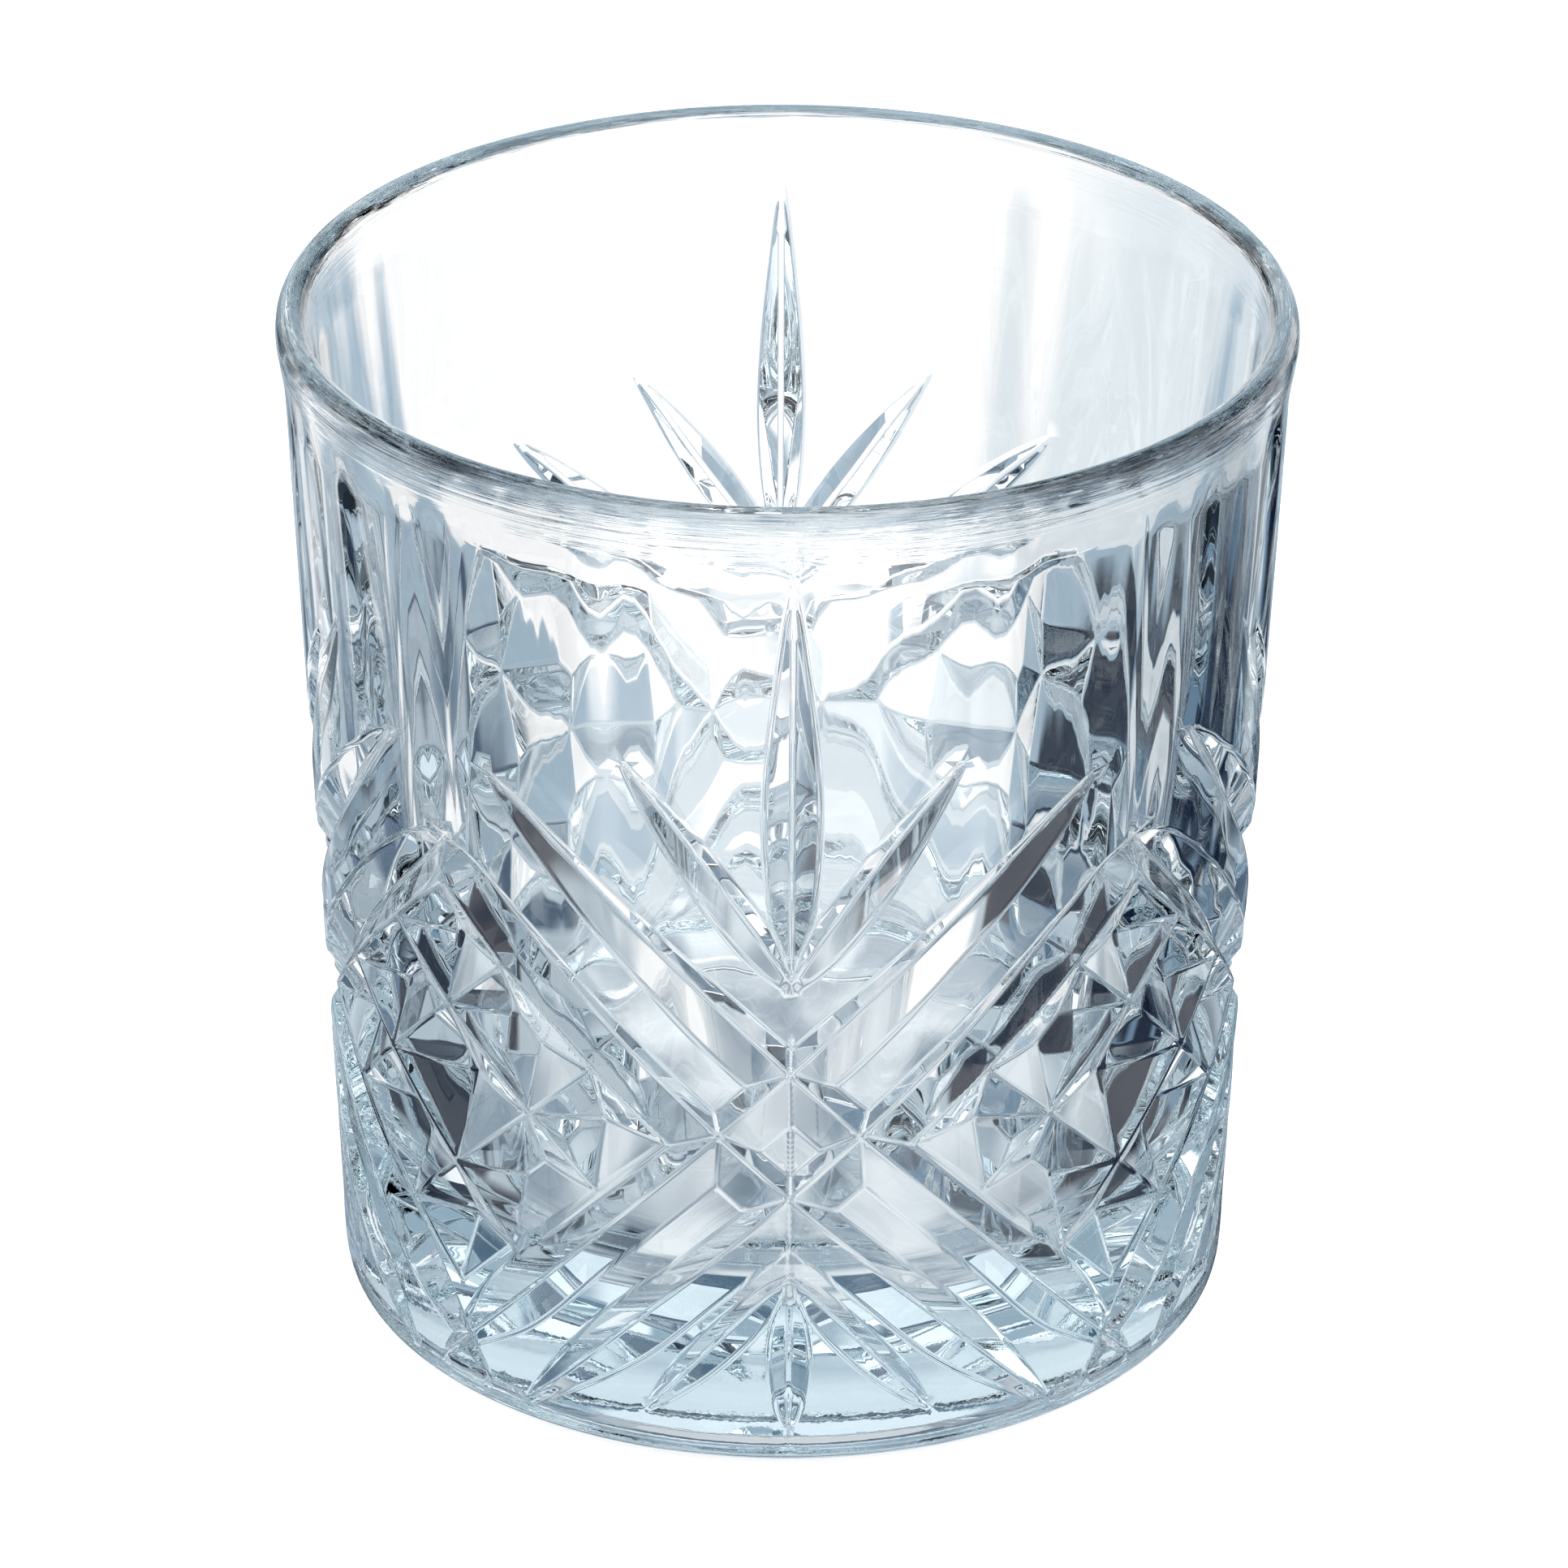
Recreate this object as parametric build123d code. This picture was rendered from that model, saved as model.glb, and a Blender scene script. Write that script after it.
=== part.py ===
from build123d import *
import math
import os

# Pressed-glass whiskey tumbler: one piece of clear glass, axis on +Z, standing on z = 0.
# A lightly flared wall with a plain rounded lip, a thick foot, and four repeats of a moulded
# "cut" pattern: crossing mitre grooves, lancet fans above and below the crossing, and lozenge
# fields of nine hollow diamonds between the crossings.

# ---- driving dimensions, mm and degrees ----
HEIGHT = 92.4
RIM_R = 43.55
WALL_TOP_R = 42.86
WALL_TOP_Z = 85.0
WALL_LOW_R = 39.5
WALL_LOW_Z = 8.6
FOOT_R = 36.4
FOOT_RING_W = 3.2
UNDER_RECESS = 0.6
LIP_WALL = 2.55
CAVITY_LOW_R = 33.6
CAVITY_LOW_Z = 18.5
FLOOR_Z = 12.0
FLOOR_R = 25.0

REPEATS = 4
SLOPE = 0.664            # rise of every mitre groove, mm of height per degree round the wall
CROSS_Z = 31.9           # height of the small flat diamond in the middle of each crossing
CROSS_DEG = 9.3          # half-width of the crossing, groove floor to groove floor
GROOVE_DEPTH = 2.4
GROOVE_K = 1.10          # half-width of a groove for each mm of its depth
LANCET_K = 1.15
TOOL_H = 4.6             # height of the triangular cutting section

FIELD_DEG = 15.2         # inner corner of the diamond field, degrees from the crossing
CELL_EDGES = (0.0, 8.95, 20.85, 29.8)
PIT_SLOPE = 0.58         # depth of a hollow diamond for each mm in from its edge


def wall_radius(z):
    """Outer radius of the plain conical wall, continued past its ends."""
    grade = (WALL_TOP_R - WALL_LOW_R) / (WALL_TOP_Z - WALL_LOW_Z)
    return WALL_LOW_R + grade * (z - WALL_LOW_Z)


def on_wall(deg, z, out=0.0):
    """Point on the wall at an angle from the front (-Y) and a height, moved outward by out."""
    r = wall_radius(z) + out
    a = math.radians(deg)
    return Vector(r * math.sin(a), -r * math.cos(a), z)


def outward(deg):
    a = math.radians(deg)
    return Vector(math.sin(a), -math.cos(a), 0)


def section(deg, z, depth, run, k):
    """Triangular cutting section: its point is depth below the wall, its flanks slope by k."""
    normal = outward(deg)
    side = normal.cross(run).normalized()
    tip = on_wall(deg, z) - normal * depth
    far = tip + normal * TOOL_H
    spread = side * (TOOL_H * k)
    return Wire.make_polygon([tip, far + spread, far - spread], close=True)


def cutter(stations, k):
    """Solid swept through stations of (degrees, height, depth)."""
    wires = []
    last = len(stations) - 1
    for i, (deg, z, depth) in enumerate(stations):
        a = stations[max(i - 1, 0)]
        b = stations[min(i + 1, last)]
        run = on_wall(b[0], b[1]) - on_wall(a[0], a[1])
        wires.append(section(deg, z, depth, run, k))
    return Solid.make_loft(wires, ruled=False)


def straight(z0, rise, pairs):
    """Stations of a straight groove: height z0 in the middle, rise per degree, (degrees, depth) pairs."""
    return [(deg, z0 + rise * deg, depth) for deg, depth in pairs]


def in_field(u, v, out):
    """Point in a diamond field; u and v are degrees along the rising and the falling grooves."""
    return on_wall(FIELD_DEG + u + v, CROSS_Z + SLOPE * (u - v), out)


def pit(u0, u1, v0, v1):
    """Four-sided hollow with a hipped floor, between lines u0-u1 and v0-v1 of a diamond field."""
    half = min(u1 - u0, v1 - v0) / 2
    depth = half * math.hypot(SLOPE, math.radians(wall_radius(CROSS_Z))) * PIT_SLOPE
    low = [in_field(u0 + half, v0 + half, -depth), in_field(u1 - half, v1 - half, -depth)]
    rim = []
    for u, v in ((u0, v0), (u1, v0), (u1, v1), (u0, v1)):
        corner = in_field(u, v, 0)
        near = min(low, key=lambda p: (p - corner).length)
        rim.append(near + (corner - near) * 1.4)
    top = in_field((u0 + u1) / 2, (v0 + v1) / 2, depth)
    if (low[0] - low[1]).length < 0.01:
        flanks = [[rim[i], rim[(i + 1) % 4], low[0]] for i in range(4)]
    elif u1 - u0 > v1 - v0:
        flanks = [[rim[0], rim[1], low[1]], [rim[0], low[1], low[0]], [rim[1], rim[2], low[1]],
                  [rim[2], rim[3], low[0]], [rim[2], low[0], low[1]], [rim[3], rim[0], low[0]]]
    else:
        flanks = [[rim[1], rim[2], low[1]], [rim[1], low[1], low[0]], [rim[2], rim[3], low[1]],
                  [rim[3], rim[0], low[0]], [rim[3], low[0], low[1]], [rim[0], rim[1], low[0]]]
    caps = [[rim[i], rim[(i + 1) % 4], top] for i in range(4)]
    return Solid(Shell([Face(Wire.make_polygon(f, close=True)) for f in flanks + caps]))


# ---- plain blown shape: wall, lip, heel, foot and cavity ----
with BuildPart() as plain:
    with BuildSketch(Plane.XZ):
        with BuildLine():
            Line((0, UNDER_RECESS), (FOOT_R - FOOT_RING_W - 1.2, UNDER_RECESS))
            Line((FOOT_R - FOOT_RING_W - 1.2, UNDER_RECESS), (FOOT_R - FOOT_RING_W, 0))
            Line((FOOT_R - FOOT_RING_W, 0), (FOOT_R, 0))
            Bezier((FOOT_R, 0), (WALL_LOW_R + 0.4, 0), (WALL_LOW_R - 0.35, 1.0), (WALL_LOW_R, WALL_LOW_Z))
            Line((WALL_LOW_R, WALL_LOW_Z), (WALL_TOP_R, WALL_TOP_Z))
            Spline((WALL_TOP_R, WALL_TOP_Z), (RIM_R - 0.45, HEIGHT - 5.5), (RIM_R - 0.13, HEIGHT - 3.7),
                   (RIM_R, HEIGHT - 2.3), (RIM_R - 0.22, HEIGHT - 1.0), (RIM_R - 0.95, HEIGHT),
                   (RIM_R - 1.65, HEIGHT - 0.2), (RIM_R - 2.25, HEIGHT - 0.7), (RIM_R - LIP_WALL, HEIGHT - 1.5))
            Line((RIM_R - LIP_WALL, HEIGHT - 1.5), (CAVITY_LOW_R, CAVITY_LOW_Z))
            Spline((CAVITY_LOW_R, CAVITY_LOW_Z), (31.6, 14.2), (FLOOR_R, FLOOR_Z))
            Line((FLOOR_R, FLOOR_Z), (0, FLOOR_Z))
            Line((0, FLOOR_Z), (0, UNDER_RECESS))
        make_face()
    revolve(axis=Axis.Z)

# ---- moulded pattern, one half of one repeat ----
UPPER = CROSS_Z + CROSS_DEG * SLOPE
LOWER = CROSS_Z - CROSS_DEG * SLOPE
FAN_Z = 47.8             # where the three upper lancets meet
LOW_FAN_Z = 18.9         # where the three lower lancets meet

# Mitre groove through the top of the crossing: a tapering lancet on its upper arm, heel at the other end.
upper_groove = cutter(straight(UPPER, SLOPE * 1.06, (
    (-52, -0.5), (-45, 0.9), (-38, GROOVE_DEPTH), (-25, GROOVE_DEPTH), (-12, GROOVE_DEPTH),
    (0, GROOVE_DEPTH), (8, GROOVE_DEPTH), (16, 2.1), (22, 1.8), (28, 1.4), (34, 0.7), (38.5, -0.2))), GROOVE_K)

# Mitre groove through the bottom of the crossing, running up to the edge of the next repeat.
lower_groove = cutter(straight(LOWER, SLOPE, (
    (-38, -0.6), (-30, 1.2), (-22, GROOVE_DEPTH), (-11, GROOVE_DEPTH), (0, GROOVE_DEPTH),
    (12, GROOVE_DEPTH), (24, GROOVE_DEPTH), (36, GROOVE_DEPTH), (42, 1.9), (48, -0.3))), GROOVE_K)

# Slanting lancets above and below the crossing.
fan_lancet = cutter(straight(FAN_Z, 1.04, (
    (-1.5, -0.3), (0, 0.45), (3, 1.3), (7, 1.6), (11, 1.5), (15, 1.0), (18, 0.45), (21, -0.2))), LANCET_K)
low_lancet = cutter(straight(LOW_FAN_Z, -0.78, (
    (-1.5, -0.3), (0, 0.45), (4, 1.3), (8, 1.5), (12, 1.3), (16, 0.6), (19, -0.2))), LANCET_K)

# Upright lancets on the centre line of the repeat.
slit = cutter([(0, z, depth) for z, depth in (
    (90.5, -0.65), (87.5, -0.15), (83.0, 0.5), (77.0, 1.1), (70.0, 1.7), (62.5, 1.95), (55.0, 1.5),
    (50.5, 0.8), (46.6, -0.2))], LANCET_K)
low_slit = cutter([(0, z, depth) for z, depth in (
    (20.5, -0.2), (17.5, 0.7), (13.5, 1.4), (9.5, 1.5), (6.5, 1.1), (3.4, -0.1))], LANCET_K)

# Nine hollow diamonds in the field between two crossings.
pits = []
for i in range(3):
    for j in range(3):
        pits.append(pit(CELL_EDGES[i], CELL_EDGES[i + 1], CELL_EDGES[j], CELL_EDGES[j + 1]))

paired = [upper_groove, lower_groove, fan_lancet, low_lancet]
unit = paired + [t.mirror(Plane.YZ) for t in paired] + [slit, low_slit] + pits

tumbler = plain.part
for n in range(REPEATS):
    turn = 360.0 / REPEATS * n
    for tool in unit:
        tumbler = tumbler - tool.rotate(Axis.Z, turn)

tumbler = tumbler.solid()
tumbler.label = "tumbler"
os.makedirs("parts", exist_ok=True)
export_step(tumbler, "parts/tumbler.step")
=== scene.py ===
import math

import bpy
import numpy as np
from mathutils import Euler, Matrix, Vector
from mathutils.geometry import delaunay_2d_cdt
from mathutils.kdtree import KDTree


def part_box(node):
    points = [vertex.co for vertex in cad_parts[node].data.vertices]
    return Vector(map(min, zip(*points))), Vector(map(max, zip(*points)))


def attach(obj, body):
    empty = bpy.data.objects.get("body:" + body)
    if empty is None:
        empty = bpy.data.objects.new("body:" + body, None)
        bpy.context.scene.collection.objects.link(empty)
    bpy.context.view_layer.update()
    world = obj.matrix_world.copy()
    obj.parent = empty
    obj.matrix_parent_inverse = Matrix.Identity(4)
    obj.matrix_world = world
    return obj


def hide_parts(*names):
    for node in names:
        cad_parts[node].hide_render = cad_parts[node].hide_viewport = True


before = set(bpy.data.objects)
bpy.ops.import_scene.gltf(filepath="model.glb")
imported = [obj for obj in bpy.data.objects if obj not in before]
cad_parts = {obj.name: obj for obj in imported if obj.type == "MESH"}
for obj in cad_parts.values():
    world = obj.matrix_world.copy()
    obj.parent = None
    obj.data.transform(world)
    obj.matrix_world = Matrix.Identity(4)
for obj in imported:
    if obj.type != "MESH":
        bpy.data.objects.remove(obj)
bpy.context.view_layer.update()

# The tumbler is worked out in millimetres and degrees, as the CAD source is, and made in metres.
MM = 0.001
low_corner, high_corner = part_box("tumbler")
HEIGHT = (high_corner.z - low_corner.z) / MM
RIM_R = (high_corner.x - low_corner.x) / 2 / MM

# ---- plain shape, as in the CAD source ----
WALL_TOP_R = RIM_R - 0.69
WALL_TOP_Z = HEIGHT - 7.4
WALL_LOW_R = 39.5
WALL_LOW_Z = 8.6
FOOT_R = 36.4
FOOT_RING_W = 3.2
UNDER_RECESS = 0.6
LIP_WALL = 2.55
CAVITY_LOW_R = 33.6
CAVITY_LOW_Z = 18.5
FLOOR_Z = 12.0
FLOOR_R = 25.0

# ---- moulded pattern, as in the CAD source ----
REPEATS = 4
SECTOR = 45.0            # half of one repeat, degrees
SLOPE = 0.664            # mm of height per degree
CROSS_Z = 31.9
CROSS_DEG = 9.3
GROOVE_DEPTH = 2.4
GROOVE_K = 1.10
LANCET_K = 1.15
FIELD_DEG = 15.2
CELL_EDGES = (0.0, 8.95, 20.85, 29.8)
PIT_SLOPE = 0.58
UPPER = CROSS_Z + CROSS_DEG * SLOPE
LOWER = CROSS_Z - CROSS_DEG * SLOPE
FAN_Z = 47.8
LOW_FAN_Z = 18.9
MM_PER_DEG = 0.70        # round the wall, at the height of the crossings

# ---- mesh fineness ----
SOFT = 0.32              # radius over which moulded edges are softened, mm
TRACE_STEP = 0.50        # grid on which the creases are traced, mm
OPEN_STEP = 1.5          # grid on open facets, mm
RING_STEPS = 32          # segments per half repeat where the pattern meets the plain rings
PATTERN_Z = (1.9, HEIGHT - 2.9)
SEAM_HEIGHT = 0.10       # mould seam down the middle of each repeat, mm
SEAM_WIDTH = 0.20
SEAM_TOP = 44.0
RIPPLES = (              # waves round the inside, drift per mm of height, phase, mm of radius
    (9, 0.020, 0.7, 0.060), (17, -0.035, 2.1, 0.055), (26, 0.050, 4.0, 0.040), (41, -0.060, 5.3, 0.022))

# ---- glass ----
GLASS_IOR = 1.52
GLASS_TINT = (0.80, 0.90, 0.935, 1)
GLASS_DENSITY = 16.0     # absorption, per metre
STREAK_DEPTH = 0.012     # fine upright waves inside, mm
STREAK_ROUND = 0.40      # streaks per mm round the wall, and per mm of height
STREAK_ALONG = 0.035
HOOP_DEPTH = 0.06        # fine hoops on the lip, mm
HOOP_ACROSS = 2.6        # hoops per mm across the lip, and per mm round it
HOOP_ROUND = 0.05
PEBBLE_DEPTH = 0.01      # faint orange peel on the heel, mm
CAVITY_LEAN = (RIM_R - LIP_WALL - CAVITY_LOW_R) / (HEIGHT - 1.5 - CAVITY_LOW_Z)

# ---- studio ----
FLOOR_HALF = 6.0         # m
FLOOR_COLOUR = (0.75, 0.75, 0.75, 1)
FLOOR_GLOW = 0.68
FLOOR_DROP = -0.0004     # the floor and the table card lie just under the foot, m
TABLE_DROP = -0.0002
DOME_RADIUS = 5.0        # m
AROUND = 72              # points round the table card and the dome
PANEL_BLUR = 2.0         # softness of a panel's sides, degrees
TABLE_BLUR = 4           # softness of a panel's other edges: mm on the table, degrees on the dome
DOME_BLUR = 2
CLOUD_SCALE = 115.0      # soft patches of light gathered under the glass, per metre
CLOUD_SHARE = 0.75
CLOUD_DARK = (0.12, 0.19, 0.27)
CLOUD_LIGHT = (0.92, 0.97, 1.0)
DARK = (0.006, 0.012, 0.030)
DUSK = (0.14, 0.21, 0.28)
SLATE = (0.15, 0.24, 0.34)
HAZE = (0.55, 0.62, 0.68)
MIST = (0.80, 0.87, 0.91)
TABLE_BASE = (0.43, 0.51, 0.57)
DOME_BASE = (0.40, 0.50, 0.58)


def smooth_profile(stations):
    """Depth along a groove from (position, depth) stations, as a smooth curve through them."""
    x = np.array([s[0] for s in stations], float)
    y = np.array([s[1] for s in stations], float)
    slope = np.gradient(y, x)

    def at(p):
        q = np.clip(p, x[0], x[-1])
        i = np.clip(np.searchsorted(x, q) - 1, 0, len(x) - 2)
        h = x[i + 1] - x[i]
        t = (q - x[i]) / h
        a = (1 + 2 * t) * (1 - t) ** 2 * y[i] + t * (1 - t) ** 2 * h * slope[i]
        b = t * t * (3 - 2 * t) * y[i + 1] - t * t * (1 - t) * h * slope[i + 1]
        return a + b - 0.8 * np.abs(p - q)

    return at


def slanting(z0, rise, k, stations):
    """Flank depths of a V groove that climbs by rise mm per degree from height z0 at degree 0."""
    profile = smooth_profile(stations)
    length = math.hypot(MM_PER_DEG, rise)

    def flanks(deg, z):
        off = (z - z0 - rise * deg) * MM_PER_DEG / length
        foot = deg + off * rise / length / MM_PER_DEG
        depth = profile(foot)
        return [depth - off / k, depth + off / k]

    return flanks


def upright(k, stations):
    """Flank depths of a V groove that stands upright at degree 0."""
    profile = smooth_profile(sorted(stations))

    def flanks(deg, z):
        depth = profile(z)
        off = deg * MM_PER_DEG
        return [depth - off / k, depth + off / k]

    return flanks


upper_groove = slanting(UPPER, SLOPE * 1.06, GROOVE_K, (
    (-52, -0.5), (-45, 0.9), (-38, GROOVE_DEPTH), (-25, GROOVE_DEPTH), (-12, GROOVE_DEPTH),
    (0, GROOVE_DEPTH), (8, GROOVE_DEPTH), (16, 2.1), (22, 1.8), (28, 1.4), (34, 0.7), (38.5, -0.2)))
lower_groove = slanting(LOWER, SLOPE, GROOVE_K, (
    (-38, -0.6), (-30, 1.2), (-22, GROOVE_DEPTH), (-11, GROOVE_DEPTH), (0, GROOVE_DEPTH),
    (12, GROOVE_DEPTH), (24, GROOVE_DEPTH), (36, GROOVE_DEPTH), (42, 1.9), (48, -0.3)))
fan_lancet = slanting(FAN_Z, 1.04, LANCET_K, (
    (-1.5, -0.3), (0, 0.45), (3, 1.3), (7, 1.6), (11, 1.5), (15, 1.0), (18, 0.45), (21, -0.2)))
low_lancet = slanting(LOW_FAN_Z, -0.78, LANCET_K, (
    (-1.5, -0.3), (0, 0.45), (4, 1.3), (8, 1.5), (12, 1.3), (16, 0.6), (19, -0.2)))
slit = upright(LANCET_K, (
    (90.5, -0.65), (87.5, -0.15), (83.0, 0.5), (77.0, 1.1), (70.0, 1.7), (62.5, 1.95), (55.0, 1.5),
    (50.5, 0.8), (46.6, -0.2)))
low_slit = upright(LANCET_K, (
    (20.5, -0.2), (17.5, 0.7), (13.5, 1.4), (9.5, 1.5), (6.5, 1.1), (3.4, -0.1)))


def pit_flanks(deg, z):
    """Flank depths of the nine hollow diamonds, worked out for the diamond that each point lies in."""
    u = ((deg - FIELD_DEG) + (z - CROSS_Z) / SLOPE) / 2
    v = ((deg - FIELD_DEG) - (z - CROSS_Z) / SLOPE) / 2
    edges = np.array(CELL_EDGES)
    iu = np.clip(np.searchsorted(edges, u) - 1, 0, 2)
    iv = np.clip(np.searchsorted(edges, v) - 1, 0, 2)
    across = math.hypot(MM_PER_DEG, SLOPE) * PIT_SLOPE
    gaps = [u - edges[iu], edges[iu + 1] - u, v - edges[iv], edges[iv + 1] - v]
    return [g * across for g in gaps], iu * 3 + iv


def cone(z):
    """Radius of the straight wall, continued past its ends."""
    grade = (WALL_TOP_R - WALL_LOW_R) / (WALL_TOP_Z - WALL_LOW_Z)
    return WALL_LOW_R + grade * (z - WALL_LOW_Z)


def bezier(a, b, c, d, t):
    """Point at t on the curve with control points a, b, c and d."""
    return [(1 - t) ** 3 * a[i] + 3 * t * (1 - t) ** 2 * b[i] + 3 * t * t * (1 - t) * c[i] + t ** 3 * d[i]
            for i in range(2)]


def heel_curve(t):
    """Heel profile from the foot (t 0) to the start of the straight wall (t 1), as (radius, height)."""
    return bezier((FOOT_R, 0.0), (WALL_LOW_R + 0.4, 0.0),
                  (WALL_LOW_R - 0.35, 1.0), (WALL_LOW_R, WALL_LOW_Z), t)


HEEL_STEPS = 400
heel_t = np.linspace(0, 1, HEEL_STEPS)
heel_r, heel_z = heel_curve(heel_t)


def through(points, steps):
    """Smooth curve through profile points, each span divided into steps."""
    p = np.array(points, float)
    p = np.concatenate([[2 * p[0] - p[1]], p, [2 * p[-1] - p[-2]]])
    out = []
    for i in range(1, len(p) - 2):
        for t in np.arange(steps) / steps:
            out.append(0.5 * ((2 * p[i]) + (p[i + 1] - p[i - 1]) * t
                              + (2 * p[i - 1] - 5 * p[i] + 4 * p[i + 1] - p[i + 2]) * t ** 2
                              + (-p[i - 1] + 3 * p[i] - 3 * p[i + 1] + p[i + 2]) * t ** 3))
    out.append(p[-2])
    return np.array(out)


lip = through([(WALL_TOP_R, WALL_TOP_Z), (RIM_R - 0.45, HEIGHT - 5.5), (RIM_R - 0.13, HEIGHT - 3.7),
               (RIM_R, HEIGHT - 2.3), (RIM_R - 0.22, HEIGHT - 1.0), (RIM_R - 0.95, HEIGHT),
               (RIM_R - 1.65, HEIGHT - 0.2), (RIM_R - 2.25, HEIGHT - 0.7),
               (RIM_R - LIP_WALL, HEIGHT - 1.5)], 5)
lip = np.minimum(lip, (RIM_R, HEIGHT))
widest = int(lip[:, 0].argmax())


def plain_radius(z):
    """Radius of the uncut outer surface: heel, straight wall, and the swelling under the lip."""
    lower = np.where(z < WALL_LOW_Z, np.interp(z, heel_z, heel_r), cone(z))
    return np.where(z > WALL_TOP_Z, np.interp(z, lip[:widest + 1, 1], lip[:widest + 1, 0]), lower)


def surface(deg, z):
    """(radius, label) of the moulded wall. A label stands for one facet: 0 is uncut wall."""
    best = plain_radius(z)
    label = np.zeros(np.shape(deg), int)
    wall = cone(z)
    number = 1
    views = (deg, -deg, 90 - deg, deg - 90)
    for cut in (upper_groove, lower_groove, fan_lancet, low_lancet):
        for seen in views:
            first, second = cut(seen, z)
            r = wall - np.minimum(first, second)
            side = (first > second).astype(int)
            label = np.where(r < best, number + side, label)
            best = np.minimum(best, r)
            number += 2
    for cut in (slit, low_slit):
        for seen in views[::2]:
            first, second = cut(seen, z)
            r = wall - np.minimum(first, second)
            side = (first > second).astype(int)
            label = np.where(r < best, number + side, label)
            best = np.minimum(best, r)
            number += 2
    flanks, cell = pit_flanks(deg, z)
    flanks = np.array(flanks)
    r = wall - flanks.min(0)
    side = flanks.argmin(0)
    label = np.where(r < best, number + cell * 4 + side, label)
    return np.minimum(best, r), label


def soft_radius(deg, z):
    """Radius of the wall with its edges softened, as the mean over a small disc."""
    total = np.zeros(np.shape(deg))
    count = 0
    for ring, share in ((0, 1), (0.45, 6), (0.85, 10)):
        for i in range(share):
            a = 2 * math.pi * i / share + ring
            x = SOFT * ring * math.cos(a)
            y = SOFT * ring * math.sin(a)
            total = total + surface(deg + x / MM_PER_DEG, z + y)[0]
            count += 1
    low = np.clip((SEAM_TOP - z) / 3, 0, 1)
    seam = SEAM_HEIGHT * np.exp(-(deg * MM_PER_DEG / SEAM_WIDTH) ** 2) * low * low * (3 - 2 * low)
    return total / count + seam


def switch_points(a, b):
    """Points on segments a-b where the facet changes, found by halving."""
    low = a.copy()
    high = b.copy()
    start = surface(a[:, 0] / MM_PER_DEG, a[:, 1])[1]
    for _ in range(22):
        mid = (low + high) / 2
        same = surface(mid[:, 0] / MM_PER_DEG, mid[:, 1])[1] == start
        low[same] = mid[same]
        high[~same] = mid[~same]
    return (low + high) / 2


def trace_creases(width, z0, z1):
    """Creases of the pattern as points and joining segments, in flat mm coordinates."""
    nx = int(round(width / TRACE_STEP))
    nz = int(round((z1 - z0) / TRACE_STEP))
    xs = np.linspace(0, width, nx + 1)
    zs = np.linspace(z0, z1, nz + 1)
    gx, gz = np.meshgrid(xs, zs, indexing="ij")
    label = surface(gx / MM_PER_DEG, gz)[1]
    grid = np.stack([gx, gz], -1)
    points = []
    across = -np.ones((nx, nz + 1), int)
    found = np.argwhere(label[:-1] != label[1:])
    across[tuple(found.T)] = np.arange(len(found))
    i, j = found.T
    points.append(switch_points(grid[i, j], grid[i + 1, j]))
    upward = -np.ones((nx + 1, nz), int)
    found = np.argwhere(label[:, :-1] != label[:, 1:])
    upward[tuple(found.T)] = np.arange(len(found)) + len(points[0])
    i, j = found.T
    points.append(switch_points(grid[i, j], grid[i, j + 1]))
    points = list(np.concatenate(points))
    segments = []
    for i in range(nx):
        for j in range(nz):
            hit = [h for h in (across[i, j], across[i, j + 1], upward[i, j], upward[i + 1, j]) if h >= 0]
            if len(hit) == 2:
                segments.append((hit[0], hit[1]))
            elif len(hit) > 2:
                points.append(np.mean([points[h] for h in hit], 0))
                segments += [(h, len(points) - 1) for h in hit]
    return np.array(points), segments


def spread(points, apart, keep_from=None, gap=0.0):
    """Points thinned to at least apart from each other, and gap from every point of keep_from."""
    taken = {}
    chosen = []
    tree = None
    if keep_from is not None and len(keep_from):
        tree = KDTree(len(keep_from))
        for i, p in enumerate(keep_from):
            tree.insert((p[0], p[1], 0), i)
        tree.balance()
    for p in points:
        if tree is not None and tree.find((p[0], p[1], 0))[2] < gap:
            continue
        cell = (int(p[0] // apart), int(p[1] // apart))
        near = [q for dx in (-1, 0, 1) for dy in (-1, 0, 1)
                for q in taken.get((cell[0] + dx, cell[1] + dy), ())]
        if any(math.hypot(p[0] - q[0], p[1] - q[1]) < apart for q in near):
            continue
        taken.setdefault(cell, []).append(p)
        chosen.append(p)
    return np.array(chosen).reshape(-1, 2)


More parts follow.
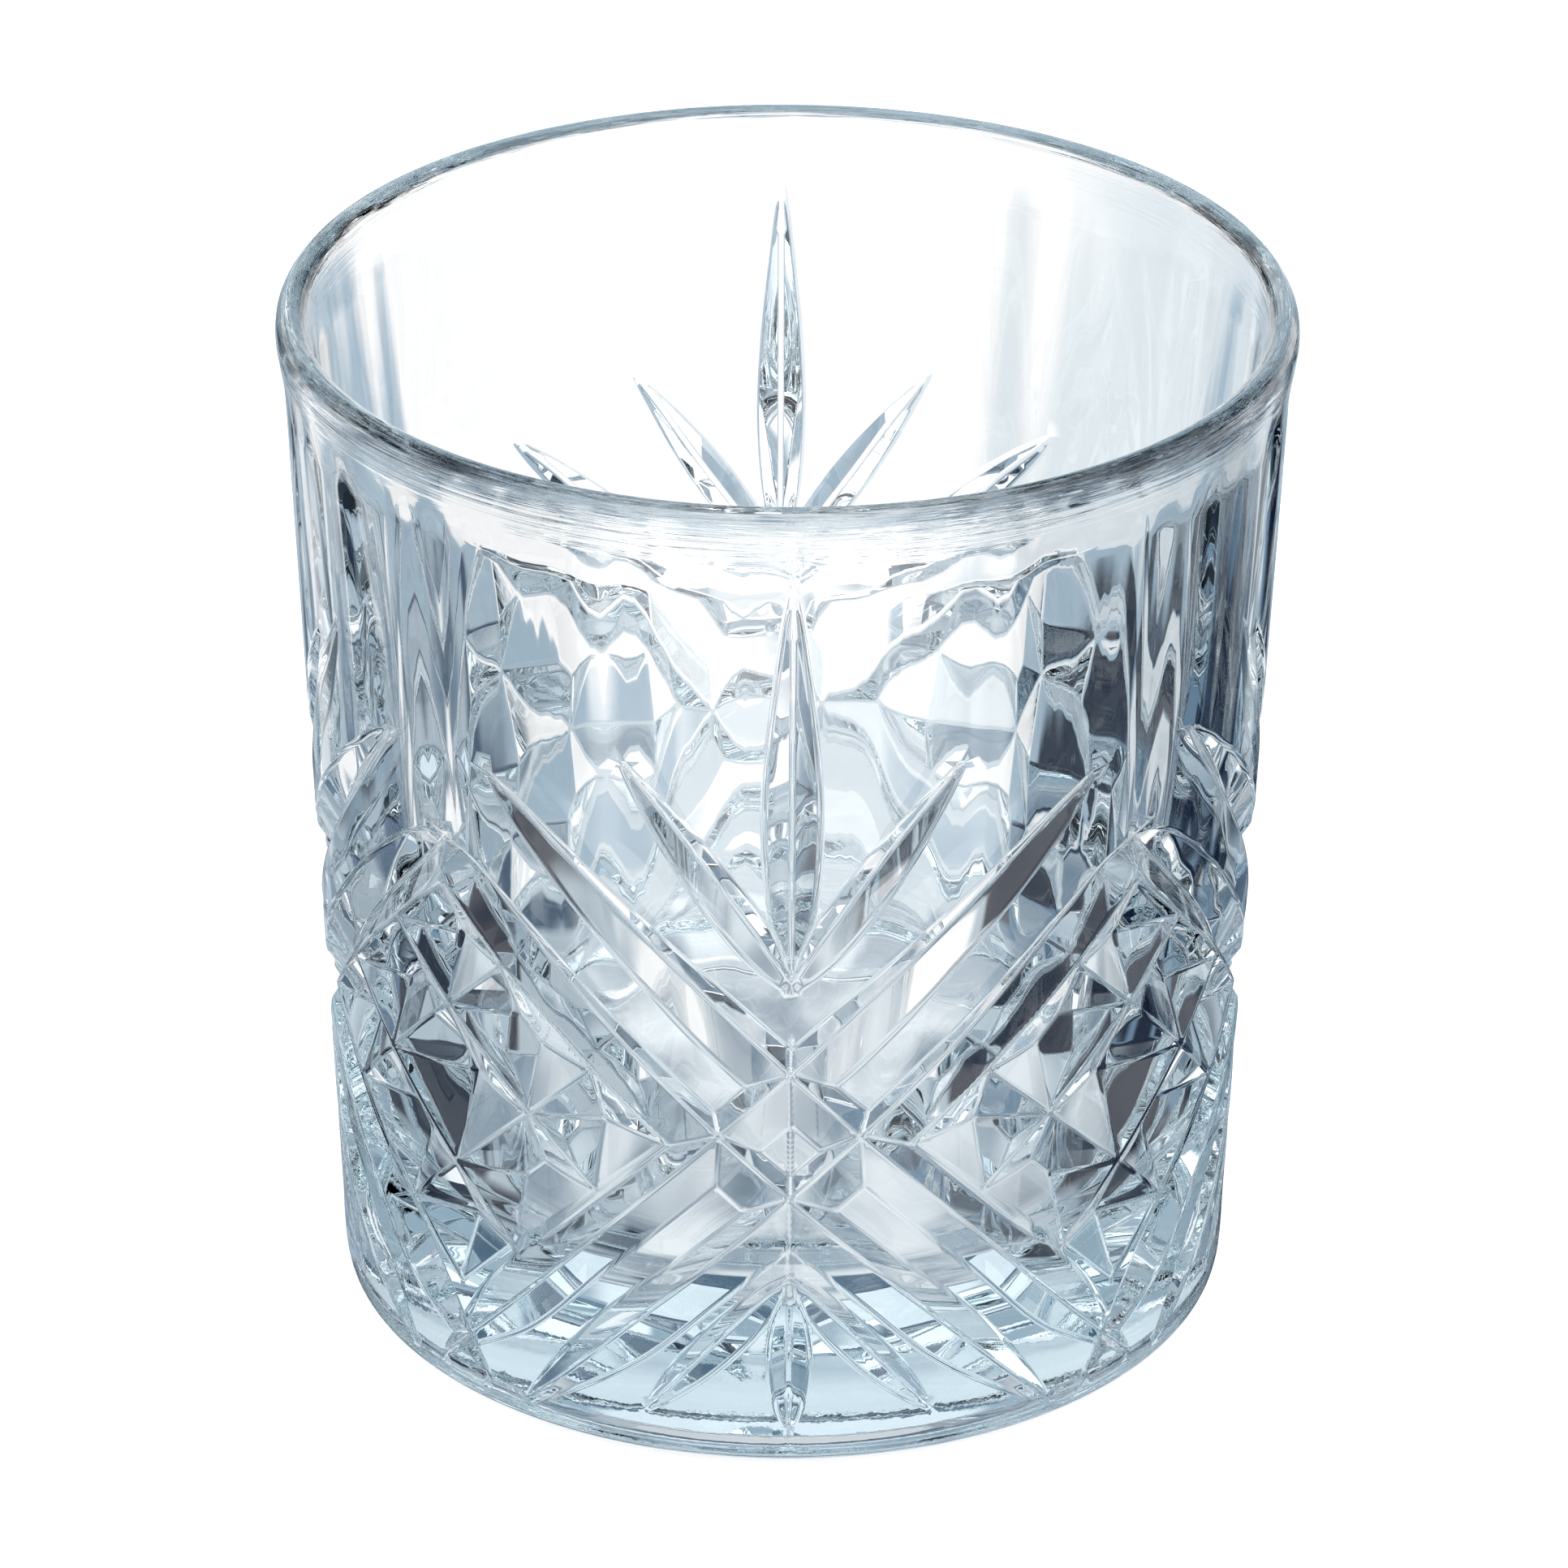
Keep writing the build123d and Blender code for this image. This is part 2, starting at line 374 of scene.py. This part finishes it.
def flat_pattern():
    """Triangulation of half a repeat in flat mm coordinates, with edges along every crease."""
    width = SECTOR * MM_PER_DEG
    z0, z1 = PATTERN_Z
    crease, joins = trace_creases(width, z0, z1)
    steps = int(round((z1 - z0) / TRACE_STEP))
    sides = [(x, z) for z in np.linspace(z0, z1, steps + 1)[1:-1] for x in (0, width)]
    rings = [(width * i / RING_STEPS, z) for i in range(RING_STEPS + 1) for z in (z0, z1)]
    beside = []
    for a, b in joins:
        run = crease[b] - crease[a]
        size = np.hypot(*run)
        if size > 0.05:
            off = np.array([-run[1], run[0]]) / size * SOFT
            beside += [(crease[a] + crease[b]) / 2 + off, (crease[a] + crease[b]) / 2 - off]
    beside += [(x, z) for z in np.arange(z0 + 0.2, z1, TRACE_STEP) for x in (SOFT, width - SOFT)]
    inside = [p for p in beside if 0.15 < p[0] < width - 0.15 and z0 + 0.2 < p[1] < z1 - 0.2]
    beside = spread(inside, 0.3, crease, SOFT * 0.7)
    seam = spread([(x, z) for x in (0.14, 0.28, 0.46) for z in np.arange(z0 + 0.4, SEAM_TOP, TRACE_STEP)],
                  0.1, np.concatenate([crease, beside]), 0.12)
    fixed = np.concatenate([crease, np.array(sides), np.array(rings), beside, seam])
    grid = [(x + (j % 2) * OPEN_STEP / 2, z0 + j * OPEN_STEP * 0.87)
            for j in range(1, int((z1 - z0) / OPEN_STEP / 0.87))
            for x in np.arange(0.7, width - 0.7, OPEN_STEP)]
    open_points = spread(grid, OPEN_STEP * 0.8, fixed, OPEN_STEP * 0.55)
    points = np.concatenate([fixed, open_points])
    made = delaunay_2d_cdt([Vector(p) for p in points], [tuple(map(int, j)) for j in joins], [], 0, 1e-4)
    flat = np.array([tuple(p) for p in made[0]])
    return flat, np.array(made[2], int)


def wall_points(flat):
    """Positions and normals on the front half repeat for flat mm points."""
    deg = flat[:, 0] / MM_PER_DEG
    z = flat[:, 1]
    step = 0.04
    r = soft_radius(deg, z)
    along = (soft_radius(deg + step / MM_PER_DEG, z) - soft_radius(deg - step / MM_PER_DEG, z)) / (2 * step)
    edge = (flat[:, 0] < 1e-3) | (flat[:, 0] > SECTOR * MM_PER_DEG - 1e-3)
    along[edge] = 0
    up = (soft_radius(deg, z + step) - soft_radius(deg, z - step)) / (2 * step)
    a = np.radians(deg)
    out = np.stack([np.sin(a), -np.cos(a), 0 * a], 1)
    side = np.stack([np.cos(a), np.sin(a), 0 * a], 1)
    place = out * r[:, None]
    place[:, 2] = z
    normal = out - side * along[:, None]
    normal[:, 2] -= up
    return place, normal / np.linalg.norm(normal, axis=1)[:, None]


def turned(vectors, degrees, mirror):
    """Vectors turned about the glass's axis, mirrored first if asked."""
    v = vectors.copy()
    if mirror:
        v[:, 0] *= -1
    a = math.radians(degrees)
    return np.stack([v[:, 0] * math.cos(a) - v[:, 1] * math.sin(a),
                     v[:, 0] * math.sin(a) + v[:, 1] * math.cos(a), v[:, 2]], 1)


def line(a, b, steps):
    """Straight run of profile points."""
    t = np.linspace(0, 1, steps + 1)[:, None]
    return np.array(a) * (1 - t) + np.array(b) * t


def joined(*runs):
    """One profile from runs that meet end to end."""
    out = [runs[0]]
    for run in runs[1:]:
        out.append(run[1:])
    return np.concatenate(out)


def upper_profile():
    """Profile from the top of the pattern, over the lip and down the cavity to near its middle."""
    above = [tuple(p) for i, p in enumerate(lip) if i > widest or p[1] > PATTERN_Z[1] + 0.1]
    rim = np.array([(float(plain_radius(PATTERN_Z[1])), PATTERN_Z[1])] + above)
    wall = line(rim[-1], (CAVITY_LOW_R, CAVITY_LOW_Z), 40)
    corner = through([(CAVITY_LOW_R, CAVITY_LOW_Z), (31.6, 14.2), (FLOOR_R, FLOOR_Z)], 8)
    floor = line((FLOOR_R, FLOOR_Z), (2.0, FLOOR_Z), 6)
    return joined(rim, wall, corner, floor)


def lower_profile():
    """Profile from the bottom of the pattern, round the heel and under the foot to near its middle."""
    t_start = float(np.interp(PATTERN_Z[0], heel_z, heel_t))
    heel = np.array([heel_curve(t) for t in np.linspace(t_start, 0, 12)])
    heel[0] = (float(plain_radius(PATTERN_Z[0])), PATTERN_Z[0])
    inner = FOOT_R - FOOT_RING_W
    ring = line((FOOT_R, 0), (inner, 0), 4)
    under = through([(inner, 0), (inner - 0.6, 0.15), (inner - 1.4, UNDER_RECESS)], 4)
    disc = line((inner - 1.4, UNDER_RECESS), (2.0, UNDER_RECESS), 6)
    return joined(heel, ring, under, disc)


def ripple(a, z):
    """Faint waviness that pressing leaves on the inside of the wall, in mm of radius."""
    total = 0
    for count, drift, turn, size in RIPPLES:
        total = total + size * np.sin(count * a + drift * z + turn + 0.8 * np.sin(0.11 * z + 2 * turn))
    fade = np.clip((z - CAVITY_LOW_Z) / 10, 0, 1) * np.clip((HEIGHT - 2.5 - z) / 4, 0, 1)
    return total * fade


def revolved(profile, outward, wavy=False):
    """Positions, normals and faces of a profile turned once round; outward is the airy side of its run."""
    count = RING_STEPS * 2 * REPEATS
    run = np.gradient(profile, axis=0)
    a = 2 * math.pi * np.arange(count) / count
    out = np.stack([np.sin(a), -np.cos(a), 0 * a], 1)
    side = np.stack([np.cos(a), np.sin(a), 0 * a], 1)
    up = np.array([0, 0, 1])
    place = []
    normal = []
    for (r, z), (dr, dz) in zip(profile, run):
        wave = ripple(a, z) if wavy and dz < 0 else 0 * a
        slope = (ripple(a + 0.01, z) - ripple(a - 0.01, z)) / (0.02 * r) if wavy and dz < 0 else 0 * a
        climb = (ripple(a, z + 0.1) - ripple(a, z - 0.1)) / 0.2 if wavy and dz < 0 else 0 * a
        place.append(out * (r + wave)[:, None] + up * z)
        n = out * dz - side * (slope * dz)[:, None] - up * (dr + climb * dz)[:, None]
        normal.append(n * outward / np.linalg.norm(n, axis=1)[:, None])
    place = np.concatenate(place)
    normal = np.concatenate(normal)
    faces = []
    for i in range(len(profile) - 1):
        for j in range(count):
            k = (j + 1) % count
            faces.append((i * count + j, i * count + k, (i + 1) * count + k, (i + 1) * count + j))
    faces.append(tuple((len(profile) - 1) * count + j for j in range(count)))
    return place, normal, faces


def build_glass():
    """The glass as one closed mesh: four mirrored repeats of the wall, welded to the turned parts."""
    flat, triangles = flat_pattern()
    place, normal = wall_points(flat)
    places, normals, faces = [], [], []
    base = 0

    def add(p, n, f):
        nonlocal base
        places.append(p)
        normals.append(n)
        faces.extend([tuple(base + int(i) for i in face) for face in f])
        base += len(p)

    for turn in range(REPEATS):
        for mirror in (False, True):
            f = [t[::-1] for t in triangles] if mirror else triangles
            add(turned(place, 90 * turn, mirror), turned(normal, 90 * turn, mirror), f)
    p, n, f = revolved(upper_profile(), 1, True)
    add(p, n, f)
    p, n, f = revolved(lower_profile(), -1)
    add(p, n, [face[::-1] for face in f])
    places = np.concatenate(places)
    normals = np.concatenate(normals)
    _, first, same = np.unique(np.round(places, 3), axis=0, return_index=True, return_inverse=True)
    same = same.ravel()
    faces = [tuple(dict.fromkeys(int(same[i]) for i in face)) for face in faces]
    faces = [face for face in faces if len(face) > 2]
    mesh = bpy.data.meshes.new("cut_glass")
    mesh.from_pydata([tuple(v) for v in places[first] * MM], [], faces)
    mesh.update()
    mesh.shade_smooth()
    mesh.normals_split_custom_set_from_vertices([tuple(v) for v in normals[first]])
    print("glass", len(mesh.vertices), "vertices", sum(len(face) - 2 for face in faces), "triangles")
    glass = bpy.data.objects.new("cut_glass", mesh)
    bpy.context.scene.collection.objects.link(glass)
    return glass


class Wiring:
    """Short calls for joining shader nodes."""

    def __init__(self, tree):
        self.nodes = tree.nodes
        self.links = tree.links

    def feed(self, socket, value):
        if isinstance(value, bpy.types.NodeSocket):
            self.links.new(value, socket)
        else:
            socket.default_value = value

    def calc(self, operation, *values):
        node = self.nodes.new("ShaderNodeMath")
        node.operation = operation
        for i, value in enumerate(values):
            self.feed(node.inputs[i], value)
        return node.outputs[0]

    def ramp(self, value, start, end):
        """0 below start, 1 above end, with a soft step between."""
        node = self.nodes.new("ShaderNodeMapRange")
        node.interpolation_type = "SMOOTHSTEP"
        self.feed(node.inputs["Value"], value)
        node.inputs["From Min"].default_value = start
        node.inputs["From Max"].default_value = end
        return node.outputs["Result"]

    def times(self, value, factor):
        return self.calc("MULTIPLY", value, factor)

    def across(self, x, y):
        """Distance from the glass's axis."""
        return self.calc("SQRT", self.calc("ADD", self.times(x, x), self.times(y, y)))

    def place(self):
        """Object coordinates, as three values."""
        split = self.nodes.new("ShaderNodeSeparateXYZ")
        self.links.new(self.nodes.new("ShaderNodeTexCoord").outputs["Object"], split.inputs[0])
        return split.outputs

    def combine(self, x, y, z):
        node = self.nodes.new("ShaderNodeCombineXYZ")
        for socket, value in zip(node.inputs, (x, y, z)):
            self.feed(socket, value)
        return node.outputs[0]

    def blend(self, share, first, second):
        """The first colour with a share of the second laid over it."""
        node = self.nodes.new("ShaderNodeMix")
        node.data_type = "VECTOR"
        self.feed(node.inputs[0], share)
        self.feed(node.inputs[4], first)
        self.feed(node.inputs[5], second)
        return node.outputs[1]

    def noise(self, place, detail):
        """Noise about zero."""
        node = self.nodes.new("ShaderNodeTexNoise")
        node.inputs["Scale"].default_value = 1.0
        node.inputs["Detail"].default_value = detail
        self.links.new(place, node.inputs["Vector"])
        return self.calc("SUBTRACT", node.outputs[0], 0.5)


def glass_material():
    """Clear pressed glass, faintly blue-grey in its depth, with the fine marks of the mould."""
    made = bpy.data.materials.new("pressed_glass")
    made.use_nodes = True
    wire = Wiring(made.node_tree)
    nodes = wire.nodes
    shader = nodes["Principled BSDF"]
    shader.inputs["Base Color"].default_value = (1.0, 1.0, 1.0, 1)
    shader.inputs["Roughness"].default_value = 0.0
    shader.inputs["IOR"].default_value = GLASS_IOR
    shader.inputs["Transmission Weight"].default_value = 1.0
    volume = nodes.new("ShaderNodeVolumeAbsorption")
    volume.inputs["Color"].default_value = GLASS_TINT
    volume.inputs["Density"].default_value = GLASS_DENSITY
    wire.links.new(volume.outputs["Volume"], nodes["Material Output"].inputs["Volume"])

    x, y, z = (wire.times(axis, 1 / MM) for axis in wire.place())
    radius = wire.across(x, y)
    inner_wall = wire.calc("MULTIPLY_ADD", z, CAVITY_LEAN, CAVITY_LOW_R - CAVITY_LOW_Z * CAVITY_LEAN + 0.8)
    inside = wire.times(wire.ramp(wire.calc("SUBTRACT", inner_wall, radius), 0.0, 0.4),
                        wire.ramp(z, CAVITY_LOW_Z - 4, CAVITY_LOW_Z + 10))
    streaks = wire.noise(wire.combine(wire.times(x, STREAK_ROUND), wire.times(y, STREAK_ROUND),
                                      wire.times(z, STREAK_ALONG)), 1.5)
    rim = wire.ramp(z, HEIGHT - 5.5, HEIGHT - 3.5)
    hoops = wire.noise(wire.combine(wire.times(radius, HOOP_ACROSS), wire.times(z, HOOP_ACROSS),
                                    wire.times(wire.calc("ADD", x, y), HOOP_ROUND)), 2.0)
    heel = wire.times(wire.ramp(z, 13.0, 6.0), wire.ramp(radius, FOOT_R - 4, FOOT_R))
    pebbles = wire.noise(wire.combine(x, y, z), 2.0)
    height = wire.times(wire.times(streaks, inside), STREAK_DEPTH)
    height = wire.calc("MULTIPLY_ADD", wire.times(hoops, rim), HOOP_DEPTH, height)
    height = wire.calc("MULTIPLY_ADD", wire.times(pebbles, heel), PEBBLE_DEPTH, height)
    bump = nodes.new("ShaderNodeBump")
    bump.inputs["Distance"].default_value = MM
    wire.links.new(height, bump.inputs["Height"])
    wire.links.new(bump.outputs["Normal"], shader.inputs["Normal"])
    return made


def floor_material():
    """Plain white floor that glows a little, so that it stays white beside the glass."""
    made = bpy.data.materials.new("pale_floor")
    made.use_nodes = True
    shader = made.node_tree.nodes["Principled BSDF"]
    shader.inputs["Base Color"].default_value = FLOOR_COLOUR
    shader.inputs["Roughness"].default_value = 0.9
    shader.inputs["Specular IOR Level"].default_value = 0.0
    shader.inputs["Emission Color"].default_value = (1, 1, 1, 1)
    shader.inputs["Emission Strength"].default_value = FLOOR_GLOW
    return made


def emitting(name, colour):
    """A material that only gives light."""
    made = bpy.data.materials.new(name)
    made.use_nodes = True
    nodes = made.node_tree.nodes
    nodes.remove(nodes["Principled BSDF"])
    light = nodes.new("ShaderNodeEmission")
    light.inputs["Color"].default_value = (*colour, 1)
    made.node_tree.links.new(light.outputs["Emission"], nodes["Material Output"].inputs["Surface"])
    return made


def stage_piece(name, verts, faces, material, height):
    """A piece of the studio, at a height in metres."""
    mesh = bpy.data.meshes.new(name)
    mesh.from_pydata(verts, [], faces)
    piece = bpy.data.objects.new(name, mesh)
    piece.location.z = height
    mesh.materials.append(material)
    bpy.context.scene.collection.objects.link(piece)
    return piece


def panel_light(wire, azimuth, measure, soft, base, panels):
    """Light colour by direction or place. Each panel is laid softly over those before it, and says
    its middle and half-width in degrees from +Y towards +X, its low and high edge, and its colour."""
    total = base
    for middle, half, low, high, colour in panels:
        turn = wire.calc("WRAP", wire.calc("SUBTRACT", azimuth, middle), 180.0, -180.0)
        beside = wire.ramp(wire.calc("ABSOLUTE", turn), half + PANEL_BLUR, half - PANEL_BLUR)
        between = wire.times(wire.ramp(measure, low - soft, low + soft),
                             wire.ramp(measure, high + soft, high - soft))
        mask = wire.times(beside, between)
        total = wire.blend(mask, total, colour)
    return total


def studio_piece(name, verts, faces, height, measure, soft, base, panels):
    """A card or dome that lights the glass and is seen only in it. Its panels' edges are measured as
    elevation in degrees, or as radius on the table in mm, where clouds of light lie under the glass."""
    material = emitting(name, base)
    material.cycles.emission_sampling = "NONE"
    wire = Wiring(material.node_tree)
    x, y, z = wire.place()
    azimuth = wire.calc("DEGREES", wire.calc("ARCTAN2", x, y))
    radius = wire.across(x, y)
    if measure == "elevation":
        light = panel_light(wire, azimuth, wire.calc("DEGREES", wire.calc("ARCTAN2", z, radius)),
                            soft, base, panels)
    else:
        out = wire.times(radius, 1 / MM)
        light = panel_light(wire, azimuth, out, soft, base, panels)
        cloud = wire.noise(wire.combine(wire.times(x, CLOUD_SCALE), wire.times(y, CLOUD_SCALE), 0.7), 0.5)
        light = wire.blend(wire.times(wire.ramp(out, 40, 26), CLOUD_SHARE), light,
                           wire.blend(wire.ramp(cloud, -0.20, 0.20), CLOUD_DARK, CLOUD_LIGHT))
    wire.links.new(light, wire.nodes["Emission"].inputs["Color"])
    piece = stage_piece(name, verts, faces, material, height)
    piece.visible_camera = False
    piece.visible_diffuse = False
    piece.visible_shadow = False


def ring_points(radius, height):
    return [(radius * math.sin(a), radius * math.cos(a), height)
            for a in (math.radians(360 / AROUND * j) for j in range(AROUND))]


def rings(sizes):
    """Points and faces of a surface through rings of (radius, height) in metres."""
    verts = [p for radius, height in sizes for p in ring_points(radius, height)]
    faces = [(i * AROUND + j, i * AROUND + (j + 1) % AROUND,
              (i + 1) * AROUND + (j + 1) % AROUND, (i + 1) * AROUND + j)
             for i in range(len(sizes) - 1) for j in range(AROUND)]
    return verts, faces


# ---- the glass ----
glass = build_glass()
glass.data.materials.append(glass_material())
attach(glass, "root")
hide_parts("tumbler")

# ---- the studio: white floor and surround, and the light that shows in the glass ----
corners = [(-FLOOR_HALF, -FLOOR_HALF, 0), (FLOOR_HALF, -FLOOR_HALF, 0),
           (FLOOR_HALF, FLOOR_HALF, 0), (-FLOOR_HALF, FLOOR_HALF, 0)]
stage_piece("floor", corners, [(0, 1, 2, 3)], floor_material(), FLOOR_DROP)
table = rings([(r, 0) for r in (0.001, 0.05, 0.2, 0.9)])
dome = rings([(DOME_RADIUS * math.cos(math.radians(e)), DOME_RADIUS * math.sin(math.radians(e)))
              for e in (0, 10, 20, 30, 40, 50, 60, 70, 80, 89)])
studio_piece("studio_table", *table, TABLE_DROP, "radius", TABLE_BLUR, TABLE_BASE, (
    (-80, 24, 10, 24, (0.30, 0.52, 0.58)),
    (0, 180, 36, 50, (0.30, 0.38, 0.46)),
    (90, 24, 36, 50, DARK),
    (-110, 14, 36, 50, DARK),
    (-160, 8, 36, 50, DARK),
    (0, 16, 36, 50, (0.85, 0.92, 0.97)),
    (137, 16, 36, 50, HAZE),
    (-45, 16, 36, 50, HAZE),
    (0, 28, 50, 100, (0.62, 0.70, 0.76)),
    (60, 34, 50, 330, SLATE),
    (-60, 34, 50, 330, (0.46, 0.55, 0.62)),
    (106, 28, 50, 330, DARK),
    (-108, 26, 100, 330, DARK),
    (-90, 20, 50, 100, DARK),
    (36, 6, 60, 330, DARK),
    (-33, 3, 60, 330, (0.06, 0.10, 0.16)),
    (-44, 2, 60, 330, (0.20, 0.28, 0.36)),
    (50, 4, 100, 330, MIST),
    (-50, 4, 100, 330, (1.2, 1.2, 1.2)),
    (66, 7, 60, 330, DARK),
    (-68, 5, 60, 330, (0.12, 0.18, 0.26)),
    (0, 22, 100, 900, (1.10, 1.10, 1.10)),
    (18, 8, 100, 900, MIST),
    (27, 5, 100, 900, (0.40, 0.52, 0.62)),
    (-23, 6, 100, 900, (0.40, 0.52, 0.62)),
    (180, 40, 60, 100, (1.0, 1.0, 1.0)),
    (180, 40, 100, 900, (2.2, 2.2, 2.2)),
    (90, 58, 340, 900, (1.5, 1.5, 1.5)),
    (-85, 40, 340, 900, (0.8, 0.85, 0.9)),
    (-90, 9, 200, 330, (1.0, 1.03, 1.06))))
studio_piece("studio_dome", *dome, 0.0, "elevation", DOME_BLUR, DOME_BASE, (
    (0, 12, -10, 9, (1.1, 1.1, 1.1)),
    (35, 14, -10, 22, DUSK),
    (62, 12, -10, 22, DARK),
    (-38, 20, -10, 9, (0.12, 0.18, 0.25)),
    (-80, 22, -10, 9, DARK),
    (120, 16, -10, 9, (1.8, 1.8, 1.8)),
    (90, 14, 9, 22, (1.2, 1.22, 1.25)),
    (180, 42, -10, 9, (1.25, 1.25, 1.25)),
    (-165, 32, 9, 24, (2.0, 2.0, 2.0)),
    (-105, 28, 9, 26, DARK),
    (-30, 14, 9, 24, (1.5, 1.5, 1.5)),
    (-90, 16, 24, 42, DUSK),
    (135, 30, 24, 42, (1.5, 1.5, 1.5)),
    (30, 60, 42, 66, (0.10, 0.16, 0.23)),
    (150, 60, 42, 66, (1.3, 1.3, 1.3)),
    (0, 20, 24, 42, (1.0, 1.05, 1.1)),
    (0, 180, 66, 90, (0.68, 0.71, 0.74))))
world = bpy.data.worlds.new("studio")
world.use_nodes = True
world.node_tree.nodes["Background"].inputs["Color"].default_value = (1.0, 1.0, 1.0, 1)
bpy.context.scene.world = world

# Cut glass passes light on many times before it leaves. The limit on inner reflections is a choice
# of look: it keeps the thin lines of the pattern dark.
bounces = bpy.context.scene.cycles
bounces.max_bounces = 32
bounces.glossy_bounces = 11
bounces.transmission_bounces = 32

# ---- camera: it stands in front of the glass, a little to the left, and looks down on it ----
CAMERA_DISTANCE = 0.7106  # m
CAMERA_LENS = 186.3       # mm, on a sensor 36 mm wide
CAMERA_ELEVATION = math.radians(27.084)
CAMERA_PITCH = math.radians(27.108)
CAMERA_AZIMUTH = math.radians(-0.85)
CAMERA_YAW = math.radians(0.009)
CAMERA_ROLL = math.radians(0.3)
CAMERA_AIM_Z = 0.0461

camera_data = bpy.data.cameras.new("camera")
camera_data.sensor_width = 36.0
camera_data.lens = CAMERA_LENS
camera = bpy.data.objects.new("camera", camera_data)
camera.location = (math.sin(CAMERA_AZIMUTH) * math.cos(CAMERA_ELEVATION) * CAMERA_DISTANCE,
                   -math.cos(CAMERA_AZIMUTH) * math.cos(CAMERA_ELEVATION) * CAMERA_DISTANCE,
                   CAMERA_AIM_Z + math.sin(CAMERA_ELEVATION) * CAMERA_DISTANCE)
facing = Euler((math.pi / 2 - CAMERA_PITCH, 0, CAMERA_AZIMUTH + CAMERA_YAW), "XYZ").to_matrix()
camera.rotation_euler = (facing @ Matrix.Rotation(CAMERA_ROLL, 3, "Z")).to_euler()
bpy.context.scene.collection.objects.link(camera)
bpy.context.scene.camera = camera
bpy.context.scene.view_settings.view_transform = "Standard"
